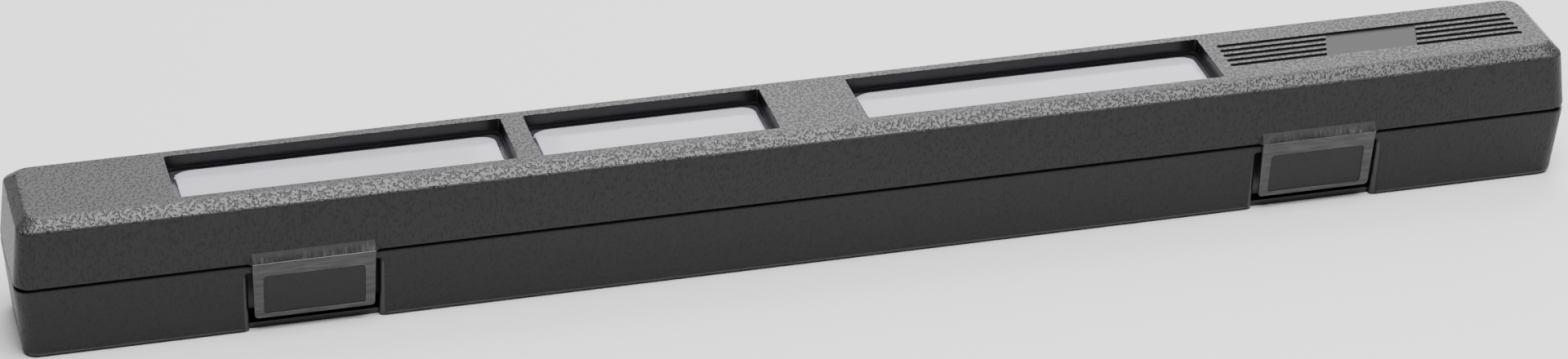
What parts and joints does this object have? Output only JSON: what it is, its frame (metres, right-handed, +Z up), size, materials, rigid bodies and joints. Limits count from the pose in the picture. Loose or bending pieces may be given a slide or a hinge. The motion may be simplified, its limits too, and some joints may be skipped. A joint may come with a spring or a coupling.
{
  "type": "tool case",
  "caption": "Long slim plastic case for a hand tool, with clear windows in a bevelled hinged lid, a grooved field on the lid, and film-hinged flap latches in pockets of the base.",
  "frame": {"origin": "middle of the flat underside, under the outline at the parting line", "axes": "+X along the case, from the windowed end to the grooved end; -Y is the front with the latches; +Z is up, out of the lid"},
  "size_m": [0.69, 0.0674, 0.065],
  "materials": {
    "case_plastic": "grained moulded polyethylene",
    "latch_plastic": "smooth border and grained panel",
    "nest_plastic": "satin formed sheet",
    "liner_plastic": "satin formed sheet",
    "clear_pane": "clear and glossy",
    "foam": "open-cell foam",
    "pin_steel": "drawn wire"
  },
  "bodies": {
    "base": {"base_shell": "case_plastic", "tool_nest": "nest_plastic", "head_pad": "foam", "grip_pad": "foam", "hinge_pin_left": "pin_steel", "hinge_pin_middle": "pin_steel", "hinge_pin_right": "pin_steel"},
    "lid": {"lid_shell": "case_plastic", "lid_liner": "liner_plastic", "window_pane_left": "clear_pane", "window_pane_middle": "clear_pane", "window_pane_right": "clear_pane", "hold_down_pad_left": "foam", "hold_down_pad_middle": "foam", "hold_down_pad_right": "foam"},
    "latch_left": {"latch_left": "latch_plastic"},
    "latch_right": {"latch_right": "latch_plastic"}
  },
  "joints": [
    {"name": "lid_hinge", "type": "hinge", "parent": "base", "child": "lid", "pos_m": [0, 0.0328, 0.0343], "axis": [-1, 0, 0], "range_deg": [0, 180]},
    {"name": "latch_left_hinge", "type": "hinge", "parent": "lid", "child": "latch_left", "pos_m": [-0.22, -0.0307, 0.0349], "axis": [-1, 0, 0], "range_deg": [0, 110]},
    {"name": "latch_right_hinge", "type": "hinge", "parent": "lid", "child": "latch_right", "pos_m": [0.227, -0.0307, 0.0349], "axis": [-1, 0, 0], "range_deg": [0, 110]}
  ]
}
